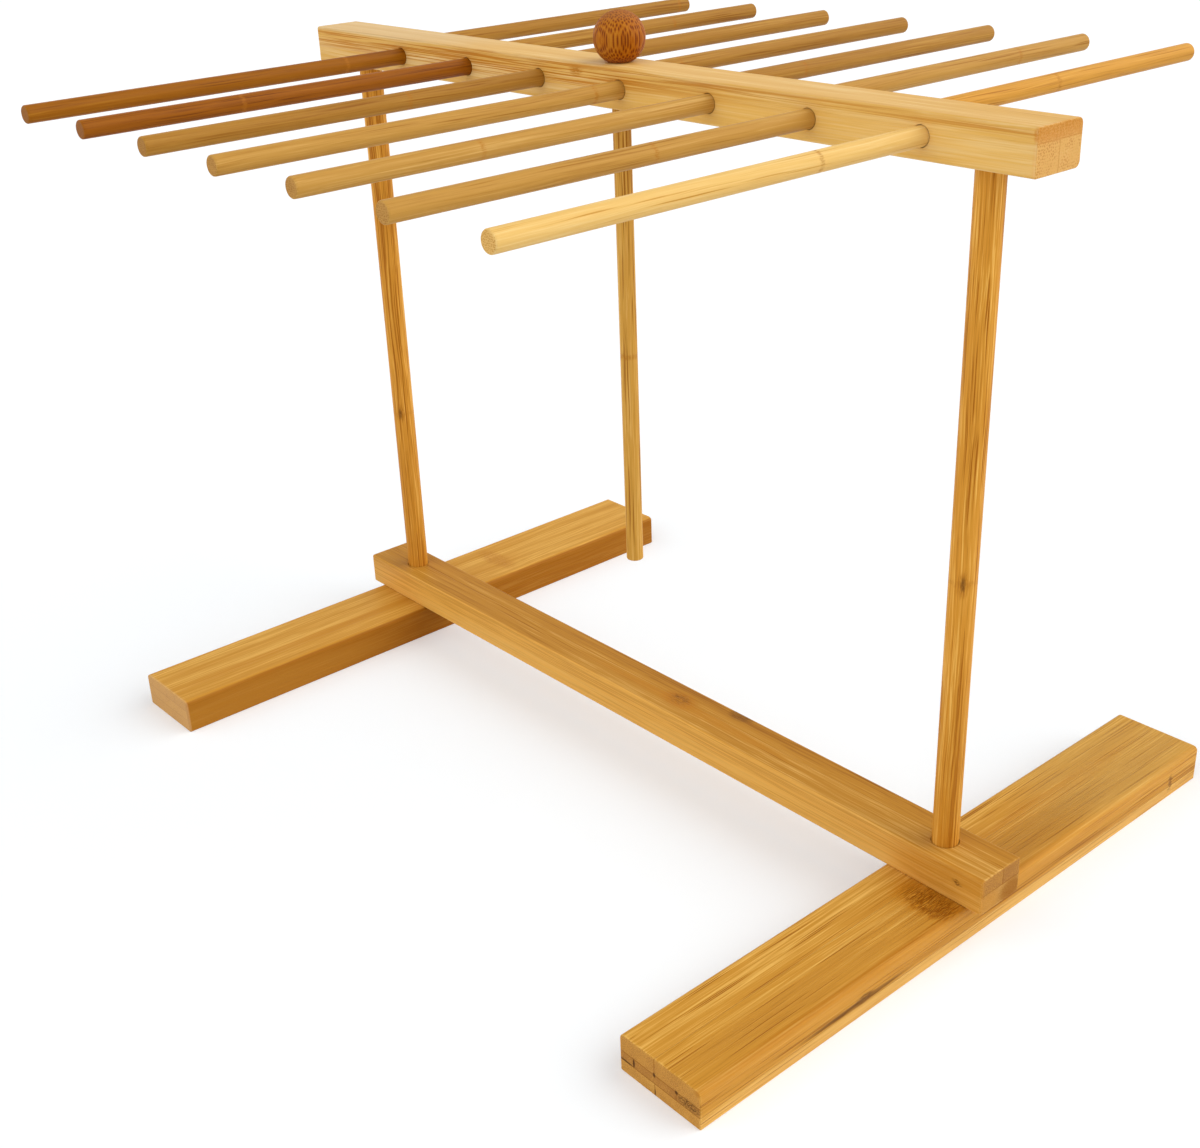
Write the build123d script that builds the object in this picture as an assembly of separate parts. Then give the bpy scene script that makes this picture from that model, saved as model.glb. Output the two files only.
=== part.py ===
"""Pasta drying rack of laminated bamboo, with plug-in rods and a lift-out wand.

Millimetres. The origin is the middle of the footprint on the table, +Z is up, +X runs
along the stretcher and the top beam, and the rods stand out to -Y (front) and +Y (back).
"""
from build123d import *

import os

# Two feet: flat boards that run front to back, well rounded above and crisp where they stand.
foot_length = 350.0
foot_width = 46.0
foot_thickness = 19.0
foot_edge_radius = 2.5
foot_base_radius = 0.8
foot_end_radius = 0.6

# Stretcher: one board that lies across both feet and runs a little past them.
stretcher_width = 27.0
stretcher_thickness = 18.0
stretcher_overhang = 7.5
stretcher_edge_radius = 1.2
stretcher_end_radius = 0.5

# Round posts: they drop through the stretcher into a blind hole in each foot. Their
# spacing sets the width of the whole rack: the feet, the boards and the rods follow it.
post_spacing = 406.0
post_diameter = 12.0
post_end_chamfer = 0.8
post_clearance = 0.4
foot_socket_depth = 10.0

# Top beam: carried on the posts by two blind holes in its underside. It runs past the
# middle of each post by the overhang.
beam_overhang = 28.0
beam_width = 27.0
beam_height = 18.0
beam_underside_height = 336.0
beam_front_edge_radius = 1.2
beam_back_edge_radius = 2.6
beam_end_radius = 0.5
beam_socket_depth = 9.0

# Rods: seven on each side, in blind holes, with the two sides half a pitch apart. They
# are spread evenly between the posts, and the outermost keep the inset from a post's middle.
rods_per_side = 7
rod_inset = 22.625
rod_diameter = 8.0
rod_reach = 200.0
rod_socket_depth = 11.0
rod_clearance = 0.3
rod_tail_gap = 0.3
rod_end_radius = 0.9
rod_tail_chamfer = 0.5

# Transfer wand: a stick glued into a ball that rests on the beam.
wand_diameter = 8.5
wand_hang = 227.5
wand_clearance = 0.5
wand_tip_radius = 0.7
wand_seat_depth = 12.0
ball_diameter = 23.5
ball_seat_drop = 10.5
ball_glue_gap = 0.05
ball_edge_radius = 0.6

# How far a cutting tool runs past the face it enters.
overrun = 1.0

# Heights and places that follow from the sizes above.
stretcher_underside = foot_thickness
stretcher_top = stretcher_underside + stretcher_thickness
foot_spacing = post_spacing
stretcher_length = foot_spacing + foot_width + 2 * stretcher_overhang
beam_length = post_spacing + 2 * beam_overhang
beam_top = beam_underside_height + beam_height
rod_height = beam_underside_height + beam_height / 2
rod_steps = 2 * rods_per_side - 1
rod_pitch = 2 * (post_spacing - 2 * rod_inset) / rod_steps
rod_stagger = rod_pitch / 4
post_foot_end = foot_thickness - foot_socket_depth
post_beam_end = beam_underside_height + beam_socket_depth
post_hole_radius = post_diameter / 2 + post_clearance
rod_hole_radius = rod_diameter / 2 + rod_clearance
rod_length = rod_reach + rod_socket_depth - rod_tail_gap
wand_hole_radius = wand_diameter / 2 + wand_clearance
ball_centre_height = beam_top + ball_seat_drop
wand_tip_height = beam_underside_height - wand_hang
wand_top_height = beam_top + wand_seat_depth

# side: -1 is the front row of rods (-Y), +1 the back row (+Y)
rod_sides = {"front": -1, "back": 1}


def rod_x(side, number):
    """Place of one rod along the beam: the front row sits towards +X, the back row towards -X."""
    from_middle = number - (rods_per_side + 1) / 2
    return from_middle * rod_pitch - side * rod_stagger


def bar(centre, radius, low, high):
    """A round bar that stands upright from one height to another."""
    x, y = centre
    return Pos(x, y, low) * Cylinder(radius, high - low, align=(Align.CENTER, Align.CENTER, Align.MIN))


def long_bar(x, z, radius, y_from, y_to):
    """A round bar that lies along Y, from the first place to the second."""
    lying = Rot(X=-90) * Cylinder(radius, y_to - y_from, align=(Align.CENTER, Align.CENTER, Align.MIN))
    return Pos(x, y_from, z) * lying


def board(length_x, length_y, thickness, low):
    """A flat board that rests with its underside at one height."""
    return Pos(0, 0, low) * Box(length_x, length_y, thickness, align=(Align.CENTER, Align.CENTER, Align.MIN))


def eased_ends(shape, along, radius):
    """Round the outline of the two sawn ends of a board."""
    ends = shape.faces().sort_by(along)
    return fillet(ends[0].edges() + ends[-1].edges(), radius)


def make_foot(side):
    """One foot, with the blind hole that takes its post."""
    shape = board(foot_width, foot_length, foot_thickness, 0)
    long_edges = shape.edges().filter_by(Axis.Y).sort_by(Axis.Z)
    shape = fillet(long_edges[:2], foot_base_radius)
    long_edges = shape.edges().filter_by(Axis.Y).sort_by(Axis.Z)
    shape = fillet(long_edges[-2:], foot_edge_radius)
    shape = eased_ends(shape, Axis.Y, foot_end_radius)
    socket = bar((0, 0), post_hole_radius, foot_thickness - foot_socket_depth, foot_thickness + overrun)
    return Pos(side * foot_spacing / 2, 0, 0) * (shape - socket)


def make_stretcher():
    """The board across the feet, with a through hole for each post."""
    shape = board(stretcher_length, stretcher_width, stretcher_thickness, stretcher_underside)
    shape = fillet(shape.edges().filter_by(Axis.X), stretcher_edge_radius)
    shape = eased_ends(shape, Axis.X, stretcher_end_radius)
    for side in (-1, 1):
        place = (side * post_spacing / 2, 0)
        shape -= bar(place, post_hole_radius, stretcher_underside - overrun, stretcher_top + overrun)
    return shape


def make_post(side):
    """One round post, bevelled at both ends so that it finds its holes."""
    shape = bar((side * post_spacing / 2, 0), post_diameter / 2, post_foot_end, post_beam_end)
    return chamfer(shape.edges().filter_by(GeomType.CIRCLE), post_end_chamfer)


def make_beam():
    """The top beam: two post sockets below, a hole for the wand, and a socket for each rod."""
    shape = board(beam_length, beam_width, beam_height, beam_underside_height)
    long_edges = shape.edges().filter_by(Axis.X).sort_by(Axis.Y)
    shape = fillet(long_edges[:2], beam_front_edge_radius)
    long_edges = shape.edges().filter_by(Axis.X).sort_by(Axis.Y)
    shape = fillet(long_edges[-2:], beam_back_edge_radius)
    shape = eased_ends(shape, Axis.X, beam_end_radius)
    for side in (-1, 1):
        place = (side * post_spacing / 2, 0)
        shape -= bar(place, post_hole_radius, beam_underside_height - overrun, post_beam_end)
    shape -= bar((0, 0), wand_hole_radius, beam_underside_height - overrun, beam_top + overrun)
    face = beam_width / 2
    for side in rod_sides.values():
        for number in range(1, rods_per_side + 1):
            inner = face - rod_socket_depth
            outer = face + overrun
            near, far = (inner, outer) if side > 0 else (-outer, -inner)
            shape -= long_bar(rod_x(side, number), rod_height, rod_hole_radius, near, far)
    return shape


def make_rod(side, number):
    """One rod: a bevelled tail in the beam and a rounded free end."""
    tail = beam_width / 2 - rod_socket_depth + rod_tail_gap
    shape = long_bar(rod_x(side, number), rod_height, rod_diameter / 2, tail, tail + rod_length)
    rims = shape.edges().filter_by(GeomType.CIRCLE).sort_by(Axis.Y)
    shape = chamfer(rims[0], rod_tail_chamfer)
    rims = shape.edges().filter_by(GeomType.CIRCLE).sort_by(Axis.Y)
    shape = fillet(rims[-1], rod_end_radius)
    if side > 0:
        return shape
    return mirror(shape, about=Plane.XZ)


def make_wand_stick():
    """The stick, from inside the ball down to its free tip."""
    shape = bar((0, 0), wand_diameter / 2, wand_tip_height, wand_top_height)
    rims = shape.edges().filter_by(GeomType.CIRCLE).sort_by(Axis.Z)
    return fillet(rims[0], wand_tip_radius)


def make_ball():
    """The ball: cut flat where it sits, and bored for the stick."""
    below = bar((0, 0), ball_diameter, beam_top - ball_diameter, beam_top)
    shape = Pos(0, 0, ball_centre_height) * Sphere(ball_diameter / 2) - below
    seat_rim = shape.edges().filter_by(GeomType.CIRCLE).sort_by(Axis.Z)[0]
    shape = fillet(seat_rim, ball_edge_radius)
    bore = wand_diameter / 2 + ball_glue_gap
    return shape - bar((0, 0), bore, beam_top - overrun, wand_top_height + ball_glue_gap)


def make_parts():
    """Every piece of the rack, by the name of its file."""
    parts = {
        "foot_left": make_foot(-1),
        "foot_right": make_foot(1),
        "stretcher": make_stretcher(),
        "post_left": make_post(-1),
        "post_right": make_post(1),
        "top_beam": make_beam(),
        "wand_stick": make_wand_stick(),
        "wand_ball": make_ball(),
    }
    for row, side in rod_sides.items():
        for number in range(1, rods_per_side + 1):
            parts[f"rod_{row}_{number}"] = make_rod(side, number)
    return parts


def main():
    """Write one STEP file for each piece and print its size."""
    os.makedirs("parts", exist_ok=True)
    for name, shape in make_parts().items():
        export_step(shape, f"parts/{name}.step")
        size = shape.bounding_box().size
        print(f"{name:14s} {size.X:7.1f} {size.Y:7.1f} {size.Z:7.1f}  volume {shape.volume:9.0f}")


if __name__ == "__main__":
    main()
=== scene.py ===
# %% [markdown]
# # A bamboo drying rack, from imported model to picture
#
# This lesson dresses a finished CAD model in Blender. The rack is plain joinery: two feet, a
# stretcher, two posts, a top beam, fourteen round rods and a wand with a ball for a handle.
# Every shape is already right in the CAD, so the work here is the camera, the bamboo and the
# light. Nothing is moved and no mesh is edited; each piece only gets a better material.

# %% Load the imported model
import math

import bpy
from mathutils import Euler, Matrix, Vector


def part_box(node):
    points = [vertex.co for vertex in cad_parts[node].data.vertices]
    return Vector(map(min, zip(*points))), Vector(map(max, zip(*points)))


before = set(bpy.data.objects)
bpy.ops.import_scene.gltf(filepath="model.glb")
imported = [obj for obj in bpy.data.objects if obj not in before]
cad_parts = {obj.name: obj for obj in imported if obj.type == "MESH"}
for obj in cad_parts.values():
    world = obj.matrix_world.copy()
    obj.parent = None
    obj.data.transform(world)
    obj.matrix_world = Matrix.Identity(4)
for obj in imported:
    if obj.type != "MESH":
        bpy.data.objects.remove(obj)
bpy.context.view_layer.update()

mm = 0.001
scene = bpy.context.scene

# %% [markdown]
# ## Where the camera stood
#
# A photograph fixes its own camera. The corners of the feet, the stretcher and the beam were
# measured in the picture, and the one camera that sees the CAD corners there was solved for.
# The result is a direction, a small roll, a place and a focal length. The focal length comes
# out in pixels of a picture 1200 wide, so it is scaled to a 36 mm sensor. The middle of the
# picture is the middle of the lens, so no shift is needed.

# %% The camera
photo_width = 1200
sensor_width = 36.0
focal_in_pixels = 1608.74
camera_azimuth, camera_elevation, camera_roll = 49.963, 26.031, -2.363
camera_place = Vector((0.55897, -0.49361, 0.46418))


def turned(azimuth, elevation, roll):
    """The turn of a camera that looks along +Y at azimuth 0 and down at a positive elevation."""
    a, e, r = math.radians(azimuth), math.radians(elevation), math.radians(roll)
    view = Vector((-math.sin(a) * math.cos(e), math.cos(a) * math.cos(e), -math.sin(e)))
    right = view.cross(Vector((0, 0, 1))).normalized()
    up = right.cross(view)
    columns = math.cos(r) * right + math.sin(r) * up, math.cos(r) * up - math.sin(r) * right, -view
    return Matrix(columns).transposed().to_4x4()


lens_data = bpy.data.cameras.new("photo_camera")
lens_data.sensor_fit = "HORIZONTAL"
lens_data.sensor_width = sensor_width
lens_data.lens = focal_in_pixels / photo_width * sensor_width
lens_data.clip_start, lens_data.clip_end = 0.01, 100.0
camera = bpy.data.objects.new("photo_camera", lens_data)
camera.matrix_world = Matrix.Translation(camera_place) @ turned(camera_azimuth, camera_elevation, camera_roll)
scene.collection.objects.link(camera)
scene.camera = camera
print(f"lens {lens_data.lens:.2f} mm, {camera_place.length:.3f} m from the middle of the footprint")

# %% [markdown]
# ## A short hand for nodes
#
# A procedural material is a formula drawn as boxes and wires. Writing every box by hand takes
# four lines each, so a few helpers come first: one places a node and fills its sockets, the
# others are the arithmetic and the cloudy noise that come back all the time. A value can be
# a number or the output of another node; the helper wires it or types it in.

# %% Helpers that place and join nodes
def put(tree, kind, inputs=None, **settings):
    """Place one node, set its choices, then fill its sockets with numbers or wires."""
    made = tree.nodes.new(kind)
    for name, value in settings.items():
        setattr(made, name, value)
    for socket, value in (inputs or {}).items():
        if isinstance(value, bpy.types.NodeSocket):
            tree.links.new(value, made.inputs[socket])
        else:
            made.inputs[socket].default_value = value
    return made


def maths(tree, operation, *values):
    return put(tree, "ShaderNodeMath", dict(enumerate(values)), operation=operation).outputs[0]


def vectors(tree, operation, *values):
    return put(tree, "ShaderNodeVectorMath", dict(enumerate(values)), operation=operation).outputs[0]


def combined(tree, x, y, z):
    return put(tree, "ShaderNodeCombineXYZ", {0: x, 1: y, 2: z}).outputs[0]


def split(tree, vector):
    return put(tree, "ShaderNodeSeparateXYZ", {0: vector}).outputs[:]


def ramp(tree, value, low, high, first=0.0, last=1.0):
    """A soft step: first below low, last above high, and an S-curve between them."""
    sockets = {"Value": value, "From Min": low, "From Max": high, "To Min": first, "To Max": last}
    return put(tree, "ShaderNodeMapRange", sockets, interpolation_type="SMOOTHSTEP").outputs[0]


def mixed(tree, share, below, above):
    """The colour below, covered by the colour above as far as share says."""
    return put(tree, "ShaderNodeMix", {0: share, 6: below, 7: above}, data_type="RGBA").outputs[2]


def noise(tree, place, stretch, detail=2.0, roughness=0.5):
    """Cloudy noise with so many clouds to the millimetre in each direction."""
    clouds = vectors(tree, "MULTIPLY", place, stretch)
    sockets = {"Vector": clouds, "Scale": 1.0, "Detail": detail, "Roughness": roughness}
    return put(tree, "ShaderNodeTexNoise", sockets).outputs


def rest(tree, value):
    """What is left of 1."""
    return maths(tree, "SUBTRACT", 1.0, value)


def new_group(name, inputs, outputs):
    """An empty node group with named sockets. Returns the group, what comes in and what goes out."""
    tree = bpy.data.node_groups.new(name, "ShaderNodeTree")
    kinds = {1: "NodeSocketFloat", 3: "NodeSocketVector", 4: "NodeSocketColor"}
    for label, value in inputs.items():
        size = len(value) if isinstance(value, tuple) else 1
        tree.interface.new_socket(label, in_out="INPUT", socket_type=kinds[size]).default_value = value
    for label, size in outputs.items():
        tree.interface.new_socket(label, in_out="OUTPUT", socket_type=kinds[size])
    return tree, tree.nodes.new("NodeGroupInput").outputs, tree.nodes.new("NodeGroupOutput").inputs


def use_group(tree, group, inputs):
    made = put(tree, "ShaderNodeGroup", node_tree=group)
    for label, value in inputs.items():
        if isinstance(value, bpy.types.NodeSocket):
            tree.links.new(value, made.inputs[label])
        else:
            made.inputs[label].default_value = value
    return made.outputs


print("helpers ready")

# %% [markdown]
# ## The fibres of bamboo
#
# Bamboo has no rings and no pores like an oak. It is a pale ground with thousands of dark
# strings of fibre, all running the same way. Sawn along, a string shows as a fine line; sawn
# across, as a dot. Solid textures give both, with nothing to line up. The lines are cells
# about a millimetre wide and 80 mm long, so on a long board each one comes and goes. The dots
# are strings that never end along the fibre: they give a sawn end its even scatter. Two
# noises, stretched the same way, add the fine grain and the broad, slow bands of darker and
# paler wood. A little wander keeps the lines from being ruled.

# %% Group: bamboo fibres
# clouds or cells to the millimetre: along the fibre, across it and up
sway_stretch = (0.011, 0.03, 0.03)
crowd_stretch = (0.004, 0.16, 0.16)
grain_stretch = (0.018, 1.25, 1.25)
band_stretch = (0.004, 0.12, 0.12)
fibre_reach = 0.012
sway_mm = 4.0
seed_steps = (37.3, 11.7, 23.9)
loose, even = 0.9, 0.6
line_core, dot_core, dot_share = 0.08, 0.10, 0.75
few_below, many_above = 0.34, 0.62

fibre_group, given, result = new_group(
    "Bamboo fibres",
    {
        "Place": (0.0, 0.0, 0.0), "Seed": 0.0,
        "Spacing": 1.3, "Wander": 0.8, "Crowding": 0.7, "Thickness": 0.40,
    },
    {"Lines": 1, "Dots": 1, "Grain": 1, "Bands": 1},
)
tree = fibre_group
shift = combined(tree, *(maths(tree, "MULTIPLY", given["Seed"], step) for step in seed_steps))
place = vectors(tree, "ADD", given["Place"], shift)
sway = vectors(tree, "SUBTRACT", noise(tree, place, sway_stretch)[1], (0.5, 0.5, 0.5))
sway = vectors(tree, "MULTIPLY", sway, combined(tree, 0.0, given["Wander"], given["Wander"]))
swayed = vectors(tree, "ADD", place, vectors(tree, "MULTIPLY", sway, (0.0, sway_mm, sway_mm)))
crowd = ramp(tree, noise(tree, swayed, crowd_stretch, detail=1.0)[0], few_below, many_above)
crowd = maths(tree, "MULTIPLY", rest(tree, crowd), given["Crowding"])


def strings(spacing, low, high, run):
    """Cells a spacing apart, dark in the middle. With no run they never end along the fibre."""
    per_mm = maths(tree, "DIVIDE", 1.0, spacing)
    cells = vectors(tree, "MULTIPLY", swayed, combined(tree, run, per_mm, per_mm))
    if not run:
        x, y, z = split(tree, cells)
        cells = combined(tree, y, z, 0.0)
    kind, disorder = ("3D", loose) if run else ("2D", even)
    sockets = {"Vector": cells, "Scale": 1.0, "Randomness": disorder}
    distance = put(tree, "ShaderNodeTexVoronoi", sockets, voronoi_dimensions=kind).outputs["Distance"]
    return maths(tree, "MULTIPLY", ramp(tree, distance, low, high, 1.0, 0.0), rest(tree, crowd))


dot_spacing = maths(tree, "MULTIPLY", given["Spacing"], dot_share)
masks = {
    "Lines": strings(given["Spacing"], line_core, given["Thickness"], fibre_reach),
    "Dots": strings(dot_spacing, dot_core, given["Thickness"], 0.0),
    "Grain": noise(tree, swayed, grain_stretch, detail=3.0, roughness=0.66)[0],
    "Bands": noise(tree, swayed, band_stretch, roughness=0.55)[0],
}
for label, mask in masks.items():
    tree.links.new(mask, result[label])
print("group:", fibre_group.name, len(tree.nodes), "nodes")

# %% [markdown]
# ## Boards glued up from strips
#
# A bamboo stem is a thin tube, so no board can be sawn from it. The stem is split into
# strips, and the strips are glued side by side and in layers. That is what the sawn end of
# each foot shows: layers with staggered blocks, each block its own shade, and a thin dark
# glue line between them. The group asks which layer and which strip a point lies in, gives
# that strip a shade of its own, and marks the glue. It works in all three directions, so the
# bands on top, the stripes on the side and the blocks on the end agree with each other.

# %% Group: glued strips
glue_core = 0.03

strip_group, given, result = new_group(
    "Glued strips",
    {
        "Place": (0.0, 0.0, 0.0), "Lower Seam": -3.0, "Upper Seam": 3.0, "Glue": 0.32, "Seed": 0.0,
        "Low Width": 22.0, "Middle Width": 22.0, "Top Width": 22.0,
        "Low Shift": 0.0, "Middle Shift": 0.0, "Top Shift": 0.0,
        "Low Tint": 0.5, "Middle Tint": 0.5, "Top Tint": 0.5, "Spread": 0.2,
    },
    {"Tint": 1, "Seam": 1},
)
tree = strip_group
x, y, z = split(tree, given["Place"])
over_low = maths(tree, "GREATER_THAN", z, given["Lower Seam"])
over_high = maths(tree, "GREATER_THAN", z, given["Upper Seam"])


def by_layer(what):
    """The value of the layer that the point lies in."""
    low, middle, top = (given[f"{layer} {what}"] for layer in ("Low", "Middle", "Top"))
    lower = maths(tree, "MULTIPLY_ADD", over_low, maths(tree, "SUBTRACT", middle, low), low)
    return maths(tree, "MULTIPLY_ADD", over_high, maths(tree, "SUBTRACT", top, middle), lower)


width = by_layer("Width")
across = maths(tree, "ADD", maths(tree, "DIVIDE", y, width), by_layer("Shift"))
off_middle = maths(tree, "ABSOLUTE", maths(tree, "SUBTRACT", maths(tree, "FRACT", across), 0.5))
inside = maths(tree, "SUBTRACT", 0.5, off_middle)
to_side = maths(tree, "MULTIPLY", inside, width)
to_low = maths(tree, "ABSOLUTE", maths(tree, "SUBTRACT", z, given["Lower Seam"]))
to_high = maths(tree, "ABSOLUTE", maths(tree, "SUBTRACT", z, given["Upper Seam"]))
nearest = maths(tree, "MINIMUM", to_side, maths(tree, "MINIMUM", to_low, to_high))
glue_line = {
    "Value": nearest, "From Min": glue_core, "From Max": given["Glue"], "To Min": 1.0, "To Max": 0.0,
}
glue = put(tree, "ShaderNodeMapRange", glue_line)
strip = combined(tree, maths(tree, "FLOOR", across), maths(tree, "ADD", over_low, over_high), given["Seed"])
luck = put(tree, "ShaderNodeTexWhiteNoise", {"Vector": strip}, noise_dimensions="3D").outputs["Value"]
spread = maths(tree, "MULTIPLY", maths(tree, "SUBTRACT", luck, 0.5), given["Spread"])
tree.links.new(maths(tree, "ADD", by_layer("Tint"), spread), result["Tint"])
tree.links.new(glue.outputs[0], result["Seam"])
print("group:", strip_group.name, len(tree.nodes), "nodes")

# %% [markdown]
# ## Knuckles, streaks, flecks and painted light
#
# Every hand's length or so, a bamboo stem has a knuckle where the fibres tangle. On a planed board it leaves
# a darker, ragged patch of short flecks, on a turned rod a faint ring. A streak of dark fibre is the same
# thing drawn long and thin, and a skin of another shade is the same thing drawn as large as a whole face. The
# same patches also carry painted shade and painted light: a darker or brighter colour laid over part of a
# face where shade or light falls. So one group serves for all: it takes a middle and a reach in each
# direction, how ragged the outline is, how far the patch breaks up into flecks, and how long each fleck is.
# It gives a mask from 0 to 1.

# %% Group: knuckle mark
tangle_stretch = (0.05, 1.1, 1.1)
dashes_per_mm = 1.9
push_scale = 4.0
full_until, gone_after = 0.45, 1.1
gap_below, dash_above = 0.44, 0.56

mark_group, given, result = new_group(
    "Marks and painted light",
    {
        "Place": (0.0, 0.0, 0.0), "Middle": (0.0, 0.0, 0.0), "Reach": (6.0, 10.0, 10.0),
        "Ragged": 3.0, "Flecks": 0.6, "Length": 2.0,
    },
    {"Mark": 1},
)
tree = mark_group
tangle = noise(tree, given["Place"], tangle_stretch, detail=3.0, roughness=0.7)[0]
tangle = maths(tree, "SUBTRACT", tangle, 0.5)
push = maths(tree, "MULTIPLY", tangle, maths(tree, "MULTIPLY", given["Ragged"], push_scale))
moved = vectors(tree, "SUBTRACT", given["Place"], given["Middle"])
moved = vectors(tree, "ADD", moved, combined(tree, push, 0.0, 0.0))
share = vectors(tree, "DIVIDE", moved, given["Reach"])
from_middle = put(tree, "ShaderNodeVectorMath", {0: share}, operation="LENGTH").outputs["Value"]
patch = ramp(tree, from_middle, full_until, gone_after, 1.0, 0.0)
per_length = maths(tree, "DIVIDE", 1.0, given["Length"])
dash_stretch = combined(tree, per_length, dashes_per_mm, dashes_per_mm)
fleck = ramp(tree, noise(tree, given["Place"], dash_stretch, roughness=0.6)[0], gap_below, dash_above)
kept = rest(tree, maths(tree, "MULTIPLY", given["Flecks"], rest(tree, fleck)))
tree.links.new(maths(tree, "MULTIPLY", patch, kept), result["Mark"])
print("group:", mark_group.name, len(tree.nodes), "nodes")

# %% [markdown]
# ## Rubbed edges and painted highlights
#
# Hands, cloths and sandpaper reach the edges first. There the finish is thinner and a pale line of bare
# bamboo shows along each arris. The same pale line also stands in for the highlight that light puts on a
# rounded arris, so it is part wear and part painted highlight. Blender can find edges by the bend of a mesh,
# but these solids have few points on their flats, so the mask is worked out from the size of the piece
# instead: a point is on an edge when it is close to two faces at once.

# %% Group: rubbed edge and painted highlight
edge_patch_stretch = (0.06, 0.3, 0.3)
little_below, full_above, least_edge_patch = 0.3, 0.65, 0.35

wear_highlight_group, given, result = new_group(
    "Wear and highlight edge",
    {"Place": (0.0, 0.0, 0.0), "Half Size": (100.0, 10.0, 10.0), "Reach": 1.2},
    {"Wear And Highlight": 1},
)
tree = wear_highlight_group
to_face = vectors(tree, "SUBTRACT", given["Half Size"], vectors(tree, "ABSOLUTE", given["Place"]))
near = [ramp(tree, side, 0.0, given["Reach"], 1.0, 0.0) for side in split(tree, to_face)]
pairs = [maths(tree, "MULTIPLY", near[a], near[b]) for a, b in ((0, 1), (1, 2), (0, 2))]
edge = maths(tree, "MAXIMUM", pairs[0], maths(tree, "MAXIMUM", pairs[1], pairs[2]))
edge_patches = noise(tree, given["Place"], edge_patch_stretch)[0]
patchy = ramp(tree, edge_patches, little_below, full_above, least_edge_patch, 1.0)
tree.links.new(maths(tree, "MULTIPLY", edge, patchy), result["Wear And Highlight"])
print("group:", wear_highlight_group.name, len(tree.nodes), "nodes")

# %% [markdown]
# ## From masks to a finish
#
# The masks now become wood. All of them push one number up or down, from dark fibre to pale
# ground, and that number picks between three colours of the same bamboo. A sawn end soaks up
# more oil, so it is darker, with its dots more marked, a trace of pale dust stays in it, and
# it shines less. The same masks drive the roughness and the height of the bump, so that a
# dark line is also a shallow groove and a glue line a fine crack.

# %% Group: bamboo finish
sawn_dust = (0.50, 0.31, 0.155, 1.0)
dust_share, end_calm, wear_highlight_lift = 0.15, 0.4, 0.26
dot_depth, end_darkness = 0.80, 0.14
crack_on_end, crack_on_side = 0.85, 0.12
rough_base, rough_grain, rough_end, rough_line = 0.40, 0.16, 0.22, 0.08
high_base, high_grain, deep_line, deep_seam = 0.5, 0.45, 0.4, 0.8

finish_group, given, result = new_group(
    "Bamboo finish",
    {
        "Pale": (0.8, 0.5, 0.2, 1.0), "Golden": (0.6, 0.3, 0.05, 1.0), "Dark": (0.4, 0.15, 0.02, 1.0),
        "Lines": 0.0, "Dots": 0.0, "Grain": 0.5, "Bands": 0.5, "Tint": 0.5, "Seam": 0.0,
        "End": 0.0, "Wear And Highlight": 0.0, "Line Depth": 0.3, "Grain Depth": 1.5, "Band Depth": 1.5,
    },
    {"Color": 4, "Roughness": 1, "Height": 1},
)
tree = finish_group


def swing(mask, depth):
    """The mask as a push up or down from its middle."""
    return maths(tree, "MULTIPLY", maths(tree, "SUBTRACT", mask, 0.5), depth)


bands, grain = swing(given["Bands"], given["Band Depth"]), swing(given["Grain"], given["Grain Depth"])
calmer = ramp(tree, given["End"], 0.0, 1.0, 1.0, end_calm)
shade = maths(tree, "MULTIPLY_ADD", maths(tree, "ADD", bands, grain), calmer, given["Tint"])
fibre = maths(tree, "MULTIPLY", given["Lines"], given["Line Depth"])
sawn = maths(tree, "MULTIPLY_ADD", given["Dots"], dot_depth, end_darkness)
darker = put(tree, "ShaderNodeMix", {0: given["End"], 2: fibre, 3: sawn}, data_type="FLOAT").outputs[0]
shade = maths(tree, "SUBTRACT", shade, darker)
# pale edge line: part wear, part painted highlight
shade = maths(tree, "ADD", shade, maths(tree, "MULTIPLY", given["Wear And Highlight"], wear_highlight_lift))
colour = mixed(tree, ramp(tree, shade, 0.0, 0.5), given["Dark"], given["Golden"])
colour = mixed(tree, ramp(tree, shade, 0.5, 1.0), colour, given["Pale"])
colour = mixed(tree, maths(tree, "MULTIPLY", given["End"], dust_share), colour, sawn_dust)
crack = maths(tree, "MULTIPLY_ADD", given["End"], crack_on_end, crack_on_side)
colour = mixed(tree, maths(tree, "MULTIPLY", given["Seam"], crack), colour, given["Dark"])
tree.links.new(colour, result["Color"])
rough = maths(tree, "MULTIPLY_ADD", given["Grain"], rough_grain, rough_base)
rough = maths(tree, "MULTIPLY_ADD", given["End"], rough_end, rough)
tree.links.new(maths(tree, "MULTIPLY_ADD", given["Lines"], rough_line, rough), result["Roughness"])
height = maths(tree, "MULTIPLY_ADD", given["Grain"], high_grain, high_base)
height = maths(tree, "SUBTRACT", height, maths(tree, "MULTIPLY", given["Lines"], deep_line))
height = maths(tree, "SUBTRACT", height, maths(tree, "MULTIPLY", given["Seam"], deep_seam))
tree.links.new(height, result["Height"])
print("group:", finish_group.name, len(tree.nodes), "nodes")

# %% [markdown]
# ## One way to dress a stick
#
# Every piece is either a board or a round stick, and both have one direction that counts:
# along the fibre. So each material first turns the piece's own coordinates until x runs along
# the fibre, y across and z up, in millimetres from the middle of the piece. After that a
# foot, a beam and a rod are all the same problem. The direction a face looks in goes through
# the same turn, and a face that looks along the fibre is a sawn end.

# %% Coordinates along the fibre
fibre_turns = {
    "x": Euler((0, 0, 0)), "y": Euler((0, 0, -math.pi / 2)), "z": Euler((0, math.pi / 2, 0)),
}
side_below, sawn_above = 0.6, 0.85


def measure(node):
    """The middle and half size of a CAD node, in millimetres."""
    low, high = (Vector(corner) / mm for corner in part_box(node))
    return (low + high) / 2, (high - low) / 2


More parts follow.
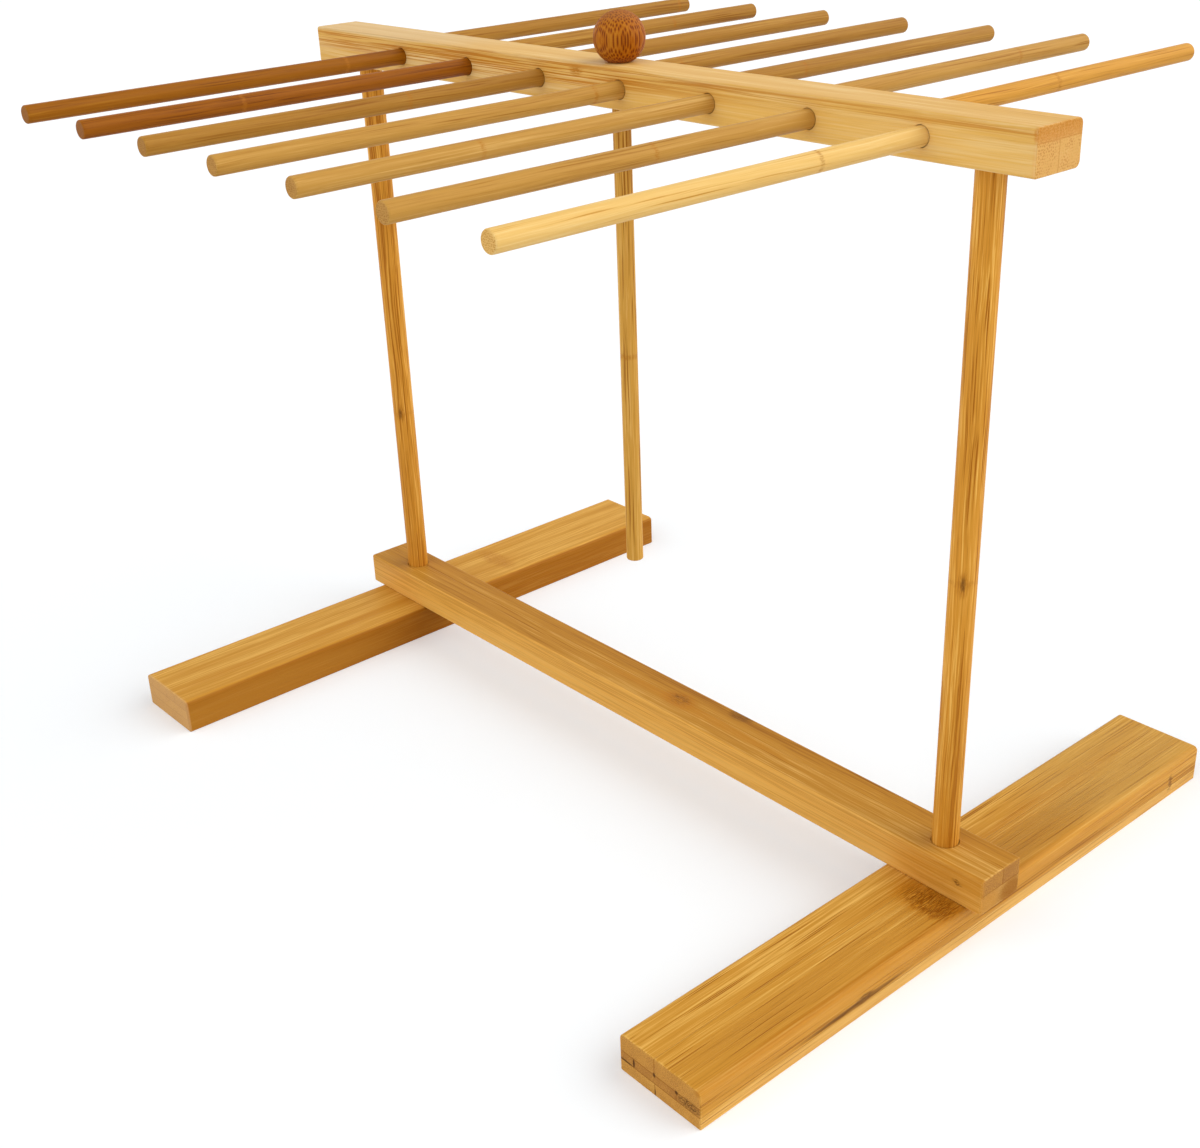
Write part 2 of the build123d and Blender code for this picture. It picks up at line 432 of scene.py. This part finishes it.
def along_fibre(tree, direction, middle):
    """The place of a point in millimetres from middle, x along the fibre, and the sawn-end mask."""
    turn = fibre_turns[direction]
    source = put(tree, "ShaderNodeTexCoord").outputs
    start = -(turn.to_matrix() @ middle)
    sockets = {"Vector": source["Object"], "Location": start, "Rotation": turn, "Scale": (1 / mm,) * 3}
    place = put(tree, "ShaderNodeMapping", sockets).outputs[0]
    sockets = {"Vector": source["Normal"], "Rotation": turn}
    facing = put(tree, "ShaderNodeMapping", sockets, vector_type="VECTOR").outputs[0]
    end = ramp(tree, maths(tree, "ABSOLUTE", split(tree, facing)[0]), side_below, sawn_above)
    return place, end


print("turns:", {name: [round(math.degrees(a)) for a in turn] for name, turn in fibre_turns.items()})

# %% [markdown]
# ## The bamboo material
#
# One function builds the material of any piece. It is given three colours, how strong the lines are and, for
# a board, how it is glued up. Knuckles, streaks, skins and patches of painted shade and painted light come as
# a table with a row for each: its middle and its reach, how strongly it covers, its colour, how ragged it is,
# how far it breaks up into flecks, and how long those are. The Principled shader is satin: oiled bamboo is
# not varnished, so the gloss is low and broad.

# %% A function that makes bamboo
gloss = 0.1
relief_depth = 0.25 * mm
mark_groove = 0.5
rim_reach = 0.9
no_end = 1000.0


def bamboo(name, node, direction, colours, seed, strips=None, marks=(), spacing=1.3, wander=0.8,
           crowding=0.7, thickness=0.4, lines=0.3, grain=1.5, bands=1.5, tint=0.5, bump=0.5,
           unbroken=False):
    """The material of one piece: three colours from pale to dark, its fibres, strips and marks."""
    material = bpy.data.materials.new(name)
    material.use_nodes = True
    tree = material.node_tree
    tree.nodes.clear()
    middle, half = measure(node)
    place, end = along_fibre(tree, direction, middle)
    half_size = Vector(abs(v) for v in fibre_turns[direction].to_matrix() @ half)
    fibres = use_group(tree, fibre_group, {
        "Place": place, "Seed": seed, "Spacing": spacing, "Wander": wander, "Crowding": crowding,
        "Thickness": thickness,
    })
    look = {
        "Pale": colours[0] + (1.0,), "Golden": colours[1] + (1.0,), "Dark": colours[2] + (1.0,),
        "Lines": fibres["Dots" if unbroken else "Lines"], "Dots": fibres["Dots"],
        "Grain": fibres["Grain"], "Bands": fibres["Bands"], "End": end,
        "Line Depth": lines, "Grain Depth": grain, "Band Depth": bands, "Tint": tint,
    }
    if strips:
        glued = use_group(tree, strip_group, {"Place": place, "Seed": seed, **strips})
        look.update({"Tint": glued["Tint"], "Seam": glued["Seam"]})
        # edge mask: a pale line along each arris, part wear and part painted highlight
        look["Wear And Highlight"] = use_group(tree, wear_highlight_group, {"Place": place, "Half Size": half_size})["Wear And Highlight"]
    else:
        x, y, z = split(tree, place)
        squares = maths(tree, "MULTIPLY", y, y), maths(tree, "MULTIPLY", z, z)
        out = maths(tree, "SQRT", maths(tree, "ADD", *squares))
        # the same pale line on the rim of each rod end: part wear, part painted highlight
        rim_size = (half_size.x, half_size.y, no_end)
        rim = {"Place": combined(tree, x, out, 0.0), "Half Size": rim_size, "Reach": rim_reach}
        look["Wear And Highlight"] = use_group(tree, wear_highlight_group, rim)["Wear And Highlight"]
    finish = use_group(tree, finish_group, look)
    colour, height = finish["Color"], finish["Height"]
    # the marks are knuckles, streaks, skins and patches of painted shade and painted light
    for where, reach, depth, shade, ragged, flecks, length in marks:
        mask = use_group(tree, mark_group, {
            "Place": place, "Middle": where, "Reach": reach,
            "Ragged": ragged, "Flecks": flecks, "Length": length,
        })["Mark"]
        colour = mixed(tree, maths(tree, "MULTIPLY", mask, depth), colour, shade + (1.0,))
        height = maths(tree, "SUBTRACT", height, maths(tree, "MULTIPLY", mask, mark_groove))
    sockets = {"Height": height, "Strength": bump, "Distance": relief_depth}
    relief = put(tree, "ShaderNodeBump", sockets).outputs[0]
    sockets = {"Base Color": colour, "Roughness": finish["Roughness"], "Specular IOR Level": gloss}
    shader = put(tree, "ShaderNodeBsdfPrincipled", {**sockets, "Normal": relief})
    put(tree, "ShaderNodeOutputMaterial", {"Surface": shader.outputs[0]})
    return material


def dress(node, material):
    """Give a CAD node its material, in every slot it has."""
    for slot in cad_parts[node].material_slots:
        slot.material = material


print("groups in use:", [group.name for group in bpy.data.node_groups])

# %% [markdown]
# ## The two feet
#
# The feet are the widest boards, 46 by 19 mm, and the near one fills the corner of the picture. Its top is
# golden with long, fine ridges. Its sawn end shows three layers of staggered blocks, with a few dark gaps
# between them that are painted shade standing in for hollows. Its outer side is orange above, paler below,
# with one dark streak, and a darker band along its rounded top edge is painted shade. A tangled orange
# knuckle lies where the stretcher crosses. The far foot is calmer on top, and its inner side is painted
# clearly browner: painted shade.

# %% Dress the feet
foot_colours = ((0.80, 0.47, 0.11), (0.57, 0.265, 0.032), (0.33, 0.115, 0.008))
brown, rust, amber = (0.20, 0.075, 0.008), (0.42, 0.145, 0.008), (0.50, 0.19, 0.010)
# the first colour here is painted shade, for hollows between blocks in the sawn end
gap_painted_shade, core, streak = (0.10, 0.035, 0.004), (0.14, 0.055, 0.008), (0.17, 0.062, 0.004)
honey, straw, toffee = (0.50, 0.22, 0.026), (0.60, 0.38, 0.11), (0.43, 0.20, 0.028)
# the first colour here is painted shade, for the rounded outer top edge of the near foot
arris_painted_shade, tangle_light = (0.42, 0.150, 0.006), (0.57, 0.21, 0.006)
tangle_dark, tangle_edge = (0.27, 0.082, 0.002), (0.33, 0.10, 0.003)
side_orange, side_pale = (0.66, 0.30, 0.040), (0.74, 0.42, 0.12)
foot_half = measure("foot_right")[1]
foot_end, outer_side, foot_top = -foot_half.y, -foot_half.x, foot_half.z

near_strips = {
    "Lower Seam": -3.2, "Upper Seam": 1.2, "Spread": 0.10,
    "Low Width": 26.0, "Middle Width": 24.7, "Top Width": 26.0,
    "Low Shift": -0.1, "Middle Shift": 0.39, "Top Shift": -0.11,
    "Low Tint": 0.74, "Middle Tint": 0.44, "Top Tint": 0.55,
}
# middle, reach, how strongly it covers, colour, ragged, flecks, length of a fleck
near_marks = (
    ((0.0, -10.0, foot_top), (250.0, 11.0, 4.0), 0.45, honey, 0.0, 0.6, 70.0),
    ((130.0, 0.0, foot_top), (70.0, 40.0, 4.0), 0.35, straw, 3.0, 0.3, 60.0),
    ((45.0, -9.0, foot_top), (75.0, 13.0, 4.0), 0.45, toffee, 3.0, 0.4, 60.0),
    # painted shade: a darker band along the rounded outer top edge
    ((-70.0, -21.6, 8.6), (170.0, 3.4, 3.0), 0.75, arris_painted_shade, 0.0, 0.25, 50.0),
    ((-20.0, -7.0, foot_top), (13.0, 20.0, 8.0), 0.8, tangle_light, 3.0, 0.3, 5.0),
    ((-21.0, -10.0, foot_top), (10.0, 18.0, 8.0), 0.9, tangle_dark, 3.0, 1.0, 5.0),
    ((-24.0, -16.0, foot_top), (6.0, 6.0, 8.0), 0.7, tangle_edge, 2.5, 0.8, 3.0),
    ((-86.0, outer_side, -1.3), (40.0, 5.0, 1.6), 1.0, streak, 1.5, 0.25, 14.0),
    ((0.0, outer_side, 6.0), (260.0, 1.4, 5.5), 0.50, side_orange, 0.0, 0.2, 60.0),
    ((0.0, outer_side, -6.5), (260.0, 1.4, 4.5), 0.5, side_pale, 0.0, 0.2, 60.0),
    ((-80.0, outer_side, -0.6), (7.0, 5.0, 2.6), 1.0, streak, 1.5, 0.6, 2.0),
    ((151.0, outer_side, -1.0), (1.6, 5.0, 5.5), 0.85, brown, 2.5, 0.3, 2.0),
    ((60.0, 3.0, foot_top), (120.0, 6.0, 4.0), 0.5, amber, 3.0, 0.5, 60.0),
    # painted shade: these dark gap marks stand in for hollows between the blocks of the sawn end
    ((foot_end, 19.5, -2.9), (3.0, 5.5, 0.6), 0.9, gap_painted_shade, 0.0, 0.0, 2.0),
    ((foot_end, 14.8, -0.9), (3.0, 0.8, 2.6), 0.95, gap_painted_shade, 0.0, 0.0, 2.0),
    ((foot_end, 2.9, 1.1), (3.0, 0.9, 1.4), 0.95, gap_painted_shade, 0.0, 0.0, 2.0),
    ((foot_end, -9.7, 0.9), (3.0, 1.1, 1.2), 0.95, gap_painted_shade, 0.0, 0.0, 2.0),
    ((foot_end, -16.8, -0.6), (3.0, 7.5, 3.0), 0.95, core, 0.0, 1.0, 2.0),
    ((foot_end, 2.5, -7.5), (3.0, 0.45, 2.2), 0.8, gap_painted_shade, 0.0, 0.0, 2.0),
)
dress("foot_right", bamboo(
    "foot_right_bamboo", "foot_right", "y", foot_colours, 3.7, near_strips, near_marks,
    spacing=1.0, wander=0.4, thickness=0.36, lines=1.05, grain=1.4, bands=0.8, bump=0.9,
))

# the first colour here is painted shade, laid over the far foot's inner side
far_side_painted_shade, far_near_end, far_end = (0.32, 0.102, 0.001), (0.50, 0.225, 0.026), (0.62, 0.37, 0.16)
far_strips = {
    "Lower Seam": -2.6, "Upper Seam": 3.6, "Spread": 0.10,
    "Low Width": 50.0, "Middle Width": 45.0, "Top Width": 30.0,
    "Low Shift": 0.5, "Middle Shift": 0.5, "Top Shift": 0.3,
    "Low Tint": 0.78, "Middle Tint": 0.74, "Top Tint": 0.60,
}
far_marks = (
    # painted shade: the far foot's whole inner side is painted browner
    ((0.0, outer_side, 0.0), (400.0, 1.6, 30.0), 0.95, far_side_painted_shade, 0.0, 0.15, 40.0),
    ((-130.0, outer_side, -2.0), (110.0, 1.6, 12.0), 0.5, far_near_end, 0.0, 0.4, 40.0),
    ((60.0, 0.0, foot_top), (8.0, 20.0, 8.0), 0.5, rust, 3.0, 0.6, 2.0),
    ((foot_end, 0.0, 0.0), (1.5, 60.0, 30.0), 0.6, far_end, 0.0, 0.2, 9.0),
    ((-80.0, -6.0, foot_top), (110.0, 3.5, 4.0), 0.45, amber, 2.0, 0.3, 40.0),
)
dress("foot_left", bamboo(
    "foot_left_bamboo", "foot_left", "y", foot_colours, 8.0, far_strips, far_marks,
    spacing=1.3, lines=0.25, grain=1.0, bands=0.9, bump=0.4,
))
print("feet dressed:", [round(v, 1) for v in foot_half * 2], "mm")

# %% [markdown]
# ## The stretcher
#
# The stretcher lies flat across both feet. Seen from above it is two strips: an orange one in front and a tan
# one behind. Its front face is painted a bright orange all over: partly the strip's own colour, partly
# painted light that brightens the face. Its end is a paler layer over two blocks, a golden one and a brown
# one. Three knuckles are placed where the picture has them.

# %% Dress the stretcher
stretcher_colours = ((0.72, 0.42, 0.11), (0.47, 0.21, 0.024), (0.28, 0.095, 0.007))
# the first colour here is partly the front's own orange and partly painted light, brightening the stretcher's
# front face
stretcher_front_painted_light, block_behind, block_front = (0.78, 0.40, 0.075), (0.30, 0.105, 0.005), (0.56, 0.25, 0.035)
stretcher_half = measure("stretcher")[1]
stretcher_end, stretcher_front, stretcher_top = stretcher_half.x, -stretcher_half.y, stretcher_half.z

stretcher_strips = {
    "Lower Seam": -40.0, "Upper Seam": 0.6, "Spread": 0.24,
    "Middle Width": 60.0, "Middle Shift": 0.5, "Middle Tint": 0.80,
    "Top Width": 15.0, "Top Shift": -0.1, "Top Tint": 0.52,
}
stretcher_marks = (
    # partly painted light: the whole front face is painted a brighter orange
    ((-10.0, stretcher_front, 0.0), (330.0, 1.4, 40.0), 0.85, stretcher_front_painted_light, 0.0, 0.45, 60.0),
    ((215.0, stretcher_front, 0.0), (36.0, 3.0, 30.0), 0.6, amber, 3.0, 0.4, 20.0),
    ((31.0, 0.5, stretcher_top), (13.0, 8.0, 5.0), 0.85, rust, 1.8, 0.5, 4.0),
    ((31.0, 0.5, stretcher_top), (8.0, 5.0, 5.0), 0.9, brown, 1.8, 0.9, 3.0),
    ((65.0, 12.0, stretcher_top), (9.0, 6.0, 5.0), 1.0, brown, 1.8, 0.5, 4.0),
    ((220.5, stretcher_front, 2.0), (3.0, 4.0, 2.0), 0.9, brown, 1.6, 0.9, 1.5),
    ((40.0, -2.0, stretcher_top), (90.0, 4.0, 5.0), 0.5, amber, 3.0, 0.4, 50.0),
    ((stretcher_end, 7.5, -4.6), (1.5, 9.5, 6.6), 0.9, block_behind, 0.0, 0.3, 9.0),
    ((stretcher_end, -7.5, -4.6), (1.5, 8.0, 6.6), 0.7, block_front, 0.0, 0.5, 9.0),
)
dress("stretcher", bamboo(
    "stretcher_bamboo", "stretcher", "x", stretcher_colours, 5.0, stretcher_strips, stretcher_marks,
    spacing=1.2, lines=0.34, grain=1.2, bands=0.9, bump=0.45,
))
print("stretcher dressed:", [round(v, 1) for v in stretcher_half * 2], "mm")

# %% [markdown]
# ## The top beam
#
# The beam is the palest board. Its end tells how it is made: an orange layer six millimetres thick over two
# pale blocks side by side. So its top is a beige face of one strip, and its front is streaky orange near the
# top edge and soft yellow below. The right part of the front is painted a brighter yellow, which is painted
# light, and the far part of the top a greyer beige, which is a painted sheen.

# %% Dress the beam
beam_colours = ((0.82, 0.60, 0.28), (0.69, 0.39, 0.090), (0.46, 0.18, 0.015))
# the second colour here is painted light for the beam's front, the third a painted sheen for its top
orange_grain, beam_front_painted_light, top_painted_sheen = (0.48, 0.17, 0.010), (0.84, 0.50, 0.115), (0.60, 0.46, 0.27)
layer_above, layer_below = (0.56, 0.21, 0.022), (0.74, 0.38, 0.12)
beam_half = measure("top_beam")[1]
beam_end, beam_front, beam_top = beam_half.x, -beam_half.y, beam_half.z

beam_strips = {
    "Lower Seam": -40.0, "Upper Seam": 3.2, "Spread": 0.12,
    "Middle Width": 13.5, "Middle Tint": 0.68,
    "Top Width": 60.0, "Top Shift": 0.5, "Top Tint": 0.64,
}
beam_marks = (
    ((-15.0, beam_front, 5.5), (5.0, 4.0, 3.0), 0.85, rust, 1.5, 0.6, 3.0),
    ((-90.0, beam_front, 4.0), (260.0, 2.0, 7.0), 0.9, orange_grain, 0.0, 1.0, 70.0),
    ((120.0, beam_front, 6.5), (200.0, 2.0, 2.2), 0.6, orange_grain, 0.0, 1.0, 70.0),
    # painted light: the right part of the beam's front is painted a brighter yellow
    ((130.0, beam_front, -3.0), (150.0, 1.4, 12.0), 0.5, beam_front_painted_light, 0.0, 0.3, 60.0),
    # painted sheen: the far part of the beam's top is painted a greyer beige
    ((-200.0, 0.0, beam_top), (120.0, 40.0, 1.5), 0.4, top_painted_sheen, 0.0, 0.1, 60.0),
    ((beam_end, 0.0, 6.2), (2.0, 60.0, 3.8), 0.85, layer_above, 0.0, 0.4, 2.0),
    ((beam_end, 0.0, -3.0), (2.0, 60.0, 12.0), 0.5, layer_below, 0.0, 0.6, 9.0),
)
dress("top_beam", bamboo(
    "beam_bamboo", "top_beam", "x", beam_colours, 11.0, beam_strips, beam_marks,
    spacing=1.4, thickness=0.5, lines=0.22, grain=0.9, bands=0.8, bump=0.4,
))
print("beam dressed:", [round(v, 1) for v in beam_half * 2], "mm")

# %% [markdown]
# ## Posts and stick
#
# Round sticks are turned from a single strip, so they have no glue lines. The posts are the
# most orange pieces and their fibres stand out as strong upright streaks. Each has a faint
# ring at a knuckle, with a small dark knot on it, and is browner in its lower part. The thin
# stick below the ball is paler.

# %% Dress the posts and the stick
post_colours = ((0.88, 0.50, 0.11), (0.63, 0.275, 0.029), (0.37, 0.12, 0.006))
lower_part = (0.50, 0.19, 0.012)
for name, seed, knuckles in (("post_left", 2.0, (-40.0, 120.0)), ("post_right", 4.0, (-10.0,))):
    knot = (knuckles[0], -4.8, -3.6)
    post_marks = [((at, 0.0, 0.0), (1.8, 12.0, 12.0), 0.30, rust, 1.2, 0.7, 2.0) for at in knuckles]
    post_marks += [
        (knot, (7.0, 3.2, 3.2), 0.7, rust, 2.0, 0.8, 4.0),
        (knot, (4.0, 1.2, 1.2), 0.9, brown, 1.2, 0.3, 2.0),
        ((-105.0, 0.0, 0.0), (75.0, 14.0, 14.0), 0.5, lower_part, 2.0, 0.8, 40.0),
    ]
    dress(name, bamboo(
        f"{name}_bamboo", name, "z", post_colours, seed, marks=post_marks,
        spacing=1.1, lines=1.15, grain=2.0, bands=1.3, bump=0.7,
    ))
stick_colours = ((0.80, 0.50, 0.15), (0.60, 0.31, 0.05), (0.34, 0.13, 0.012))
stick_marks = (((-20.0, 0.0, 0.0), (2.0, 8.0, 8.0), 0.6, rust, 1.0, 0.6, 2.0),)
dress("wand_stick", bamboo(
    "stick_bamboo", "wand_stick", "z", stick_colours, 6.0, marks=stick_marks,
    spacing=1.0, lines=0.9, grain=1.7, bands=1.1, bump=0.6,
))
print("posts and stick dressed")

# %% [markdown]
# ## Fourteen rods
#
# The rods are given many shades: two are a deep reddish brown, most are tan or olive, one is gold and one a
# pale yellow. Each gets its own seed, shade and knuckle. The knuckles that the picture shows sit where they
# are there; the others are a maker's guess.

# %% Dress the rods
rod_shades = {
    "pale": ((0.86, 0.63, 0.28), (0.76, 0.475, 0.14), (0.54, 0.26, 0.04)),
    "gold": ((0.80, 0.45, 0.10), (0.62, 0.29, 0.035), (0.40, 0.15, 0.01)),
    "tan": ((0.68, 0.42, 0.13), (0.50, 0.26, 0.050), (0.32, 0.13, 0.012)),
    "olive": ((0.55, 0.30, 0.06), (0.38, 0.175, 0.024), (0.25, 0.09, 0.006)),
    "chestnut": ((0.46, 0.20, 0.015), (0.30, 0.098, 0.002), (0.18, 0.05, 0.001)),
    "brown": ((0.50, 0.20, 0.014), (0.29, 0.086, 0.002), (0.16, 0.04, 0.001)),
}
rod_plan = {
    "front": (
        ("chestnut", 60.0), ("brown", -30.0), ("olive", 20.0), ("tan", 78.5),
        ("tan", -25.0), ("tan", 10.7), ("pale", 37.0),
    ),
    "back": (
        ("olive", 97.0), ("olive", 40.0), ("olive", -45.0), ("olive", -60.0),
        ("olive", -35.0), ("tan", 50.0), ("gold", 0.0),
    ),
}
first_seed = {"front": 0.0, "back": 20.0}
seed_step = 1.7
for row, plan in rod_plan.items():
    for number, (shade, knuckle) in enumerate(plan, start=1):
        name = f"rod_{row}_{number}"
        ring = (((knuckle, 0.0, 0.0), (1.6, 7.5, 7.5), 0.6, rust, 1.0, 0.7, 2.0),)
        seed = number * seed_step + first_seed[row]
        dress(name, bamboo(
            f"{name}_bamboo", name, "y", rod_shades[shade], seed, marks=ring,
            spacing=1.0, lines=0.40, grain=1.2, bands=0.9, bump=0.35,
        ))
print("rods dressed:", sum(len(plan) for plan in rod_plan.values()))

# %% [markdown]
# ## The ball
#
# The handle is a ball turned from a thick, reddish piece of bamboo with its fibres upright.
# The sides show them as streaks. Towards the top the surface cuts across them, and they turn
# into short dashes and then dots. The strings that never end do this by themselves, so the
# ball takes those for its lines too.

# %% Dress the ball
ball_colours = ((0.48, 0.175, 0.009), (0.345, 0.087, 0.001), (0.18, 0.038, 0.001))
dress("wand_ball", bamboo(
    "ball_bamboo", "wand_ball", "z", ball_colours, 9.0,
    spacing=1.65, wander=0.1, crowding=0.0, thickness=0.50,
    lines=0.80, grain=0.8, bands=0.5, tint=0.80, bump=1.0, unbroken=True,
))
print("ball dressed:", [round(v, 1) for v in measure("wand_ball")[1] * 2], "mm")

# %% [markdown]
# ## Floor and sky
#
# The picture has a pure white ground with soft shadows close to the wood. A floor can't be
# white by being lit harder, or the bamboo would bleach with it. So the floor adds a little
# light of its own, only for rays that come from the camera or from a reflection: enough to
# reach white where it is lit, not enough to hide a shadow. For the same rays the sky is
# plain white, while as a light it is dimmer.

# %% The floor and the world
floor_half = 15.0
thrown_white = (0.80, 0.80, 0.80, 1.0)
shown_white = (0.72, 0.755, 0.765, 1.0)
own_light = (0.270, 0.258, 0.266, 1.0)
sky_light, sky_white = 0.28, 1.0

floor_mesh = bpy.data.meshes.new("floor")
corners = [(x * floor_half, y * floor_half, 0.0) for x, y in ((-1, -1), (1, -1), (1, 1), (-1, 1))]
floor_mesh.from_pydata(corners, [], [(0, 1, 2, 3)])
floor = bpy.data.objects.new("floor", floor_mesh)
scene.collection.objects.link(floor)


def seen(tree):
    """1 for a ray from the camera, a reflection or a clear piece, 0 for light on its way round."""
    rays = put(tree, "ShaderNodeLightPath").outputs
    glossy = maths(tree, "MAXIMUM", rays["Is Glossy Ray"], rays["Is Transmission Ray"])
    return maths(tree, "MAXIMUM", rays["Is Camera Ray"], glossy)


floor_material = bpy.data.materials.new("white_ground")
floor_material.use_nodes = True
tree = floor_material.node_tree
tree.nodes.clear()
bounce = put(tree, "ShaderNodeBsdfDiffuse", {"Color": thrown_white})
shown = put(tree, "ShaderNodeBsdfDiffuse", {"Color": shown_white})
lift = put(tree, "ShaderNodeEmission", {"Color": own_light, "Strength": 1.0})
both = put(tree, "ShaderNodeAddShader", {0: shown.outputs[0], 1: lift.outputs[0]})
ground = put(tree, "ShaderNodeMixShader", {0: seen(tree), 1: bounce.outputs[0], 2: both.outputs[0]})
put(tree, "ShaderNodeOutputMaterial", {"Surface": ground.outputs[0]})
floor_mesh.materials.append(floor_material)

world = bpy.data.worlds.new("white_sky")
scene.world = world
world.use_nodes = True
tree = world.node_tree
tree.nodes.clear()
strength = ramp(tree, seen(tree), 0.0, 1.0, sky_light, sky_white)
sky = put(tree, "ShaderNodeBackground", {"Color": (1.0, 1.0, 1.0, 1.0), "Strength": strength})
put(tree, "ShaderNodeOutputWorld", {"Surface": sky.outputs[0]})
print("floor", 2 * floor_half, "m wide; sky light", sky_light)

# %% [markdown]
# ## Light
#
# The shadows in the picture fall softly to the left and the light faces are the ones to the
# right, so the main light stands on the right, low enough to throw a shadow beside a board
# that is only 19 mm high. A weak one nearer the camera lifts the faces at the right-hand
# ends, and one in front on the left keeps the long near faces bright. All are very large,
# which is what makes a shadow soft. Suns of a wide angle light the whole floor alike, so it
# stays white.

# %% The lamps
lamp_distance = 3.0


def sun(name, azimuth, height, strength, angle):
    """A wide, distant lamp. Azimuth is the side it stands on, seen from above, from +X to +Y."""
    data = bpy.data.lights.new(name, "SUN")
    data.energy, data.angle = strength, math.radians(angle)
    lamp = bpy.data.objects.new(name, data)
    a, h = math.radians(azimuth), math.radians(height)
    towards = Vector((math.cos(a) * math.cos(h), math.sin(a) * math.cos(h), math.sin(h)))
    lamp.rotation_euler = towards.to_track_quat("Z", "Y").to_euler()
    lamp.location = towards * lamp_distance
    scene.collection.objects.link(lamp)


# name, side it stands on, height, strength, width; all but the strength in degrees
sun("main_light", 50.0, 35.0, 2.15, 70.0)
sun("right_light", 5.0, 35.0, 0.55, 60.0)
sun("left_light", -100.0, 30.0, 1.85, 90.0)
scene.view_settings.view_transform = "Standard"
